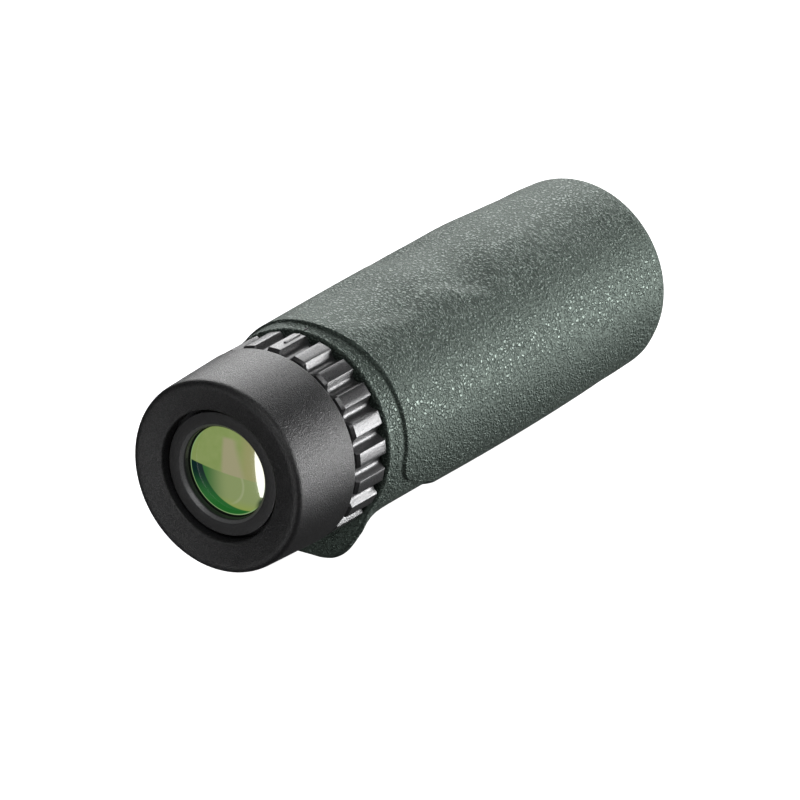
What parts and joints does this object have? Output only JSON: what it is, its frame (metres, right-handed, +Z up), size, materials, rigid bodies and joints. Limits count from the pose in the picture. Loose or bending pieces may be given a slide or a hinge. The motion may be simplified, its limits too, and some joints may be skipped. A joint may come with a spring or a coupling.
{
  "type": "monocular",
  "caption": "Compact pocket monocular with a rubber-armoured barrel, toothed focus ring, twist-up eyecup, roof prism and a lanyard lug.",
  "frame": {"origin": "centre of the bounding box in X and Y, on the flat foot of the lanyard lug; the optical axis is 24 mm above it", "axes": "+Y along the optical axis from the eye to the objective, +Z up with the focus index mark on top, +X to the user's right"},
  "size_m": [0.038, 0.115, 0.043],
  "materials": {
    "armour_rubber": "leather-grained matt rubber, dark green-grey",
    "eyecup_rubber": "fine-grained matt rubber, near black",
    "ring_metal": "satin charcoal anodising",
    "black_metal": "matt black anodised",
    "aluminium": "machined",
    "steel": "bright",
    "black_plastic": "moulded, matt",
    "seal_rubber": "smooth black rubber",
    "coated_glass": "polished, green multicoating",
    "prism_glass": "polished"
  },
  "bodies": {
    "body": {"barrel": "aluminium", "armour": "armour_rubber", "prism_housing": "black_metal", "roof_prism": "prism_glass", "half_pentaprism": "prism_glass", "prism_leaf_spring": "steel", "prism_clamp_plate": "black_metal", "prism_clamp_screw_1": "steel", "prism_clamp_screw_2": "steel", "housing_screw_1": "steel", "housing_screw_2": "steel", "housing_screw_3": "steel", "eyepiece_tube": "black_metal", "eyepiece_cap_ring": "black_metal", "eye_lens": "coated_glass", "eyepiece_front_spacer": "black_metal", "eyepiece_crown_lens": "coated_glass", "eyepiece_flint_lens": "coated_glass", "eyepiece_rear_spacer": "black_metal", "field_lens": "coated_glass", "field_stop": "black_metal", "eyecup_cam_pin_1": "steel", "eyecup_cam_pin_2": "steel", "eyecup_cam_pin_3": "steel", "focus_retaining_nut": "black_metal", "focus_seal_ring": "seal_rubber", "glare_stop": "black_metal", "objective_cell": "black_metal", "objective_rear_lens": "coated_glass", "objective_front_lens": "coated_glass", "objective_retaining_ring": "black_metal", "objective_seal_ring": "seal_rubber", "objective_bezel": "black_metal"},
    "eyecup_guide": {"eyecup_guide_ring": "black_plastic"},
    "eyecup": {"eyecup_rubber": "eyecup_rubber", "eyecup_sleeve": "black_plastic"},
    "focus_ring": {"focus_ring": "ring_metal", "focus_drive_sleeve": "aluminium", "focus_grub_screw_1": "steel", "focus_grub_screw_2": "steel"},
    "focus_carriage": {"focus_carriage": "black_plastic", "focus_drive_pin": "steel", "focusing_lens": "coated_glass", "focusing_lens_retainer": "black_metal"}
  },
  "joints": [
    {"name": "eyecup_rise", "type": "slide", "parent": "body", "child": "eyecup_guide", "axis": [0, -1, 0], "range_m": [0, 0.0065]},
    {"name": "eyecup_twist", "type": "hinge", "parent": "eyecup_guide", "child": "eyecup", "pos_m": [0, -0.0575, 0.024], "axis": [0, -1, 0], "range_deg": [0, 90]},
    {"name": "focus_turn", "type": "hinge", "parent": "body", "child": "focus_ring", "pos_m": [0, -0.0357, 0.024], "axis": [0, 1, 0], "range_deg": [-150, 150]},
    {"name": "focus_slide", "type": "slide", "parent": "body", "child": "focus_carriage", "axis": [0, 1, 0], "range_m": [-0.0025, 0.0025]}
  ],
  "couplings": [
    {"joint": "eyecup_twist", "follows": "eyecup_rise", "rad_per_m": 241.6},
    {"joint": "focus_turn", "follows": "focus_slide", "rad_per_m": 1047}
  ]
}
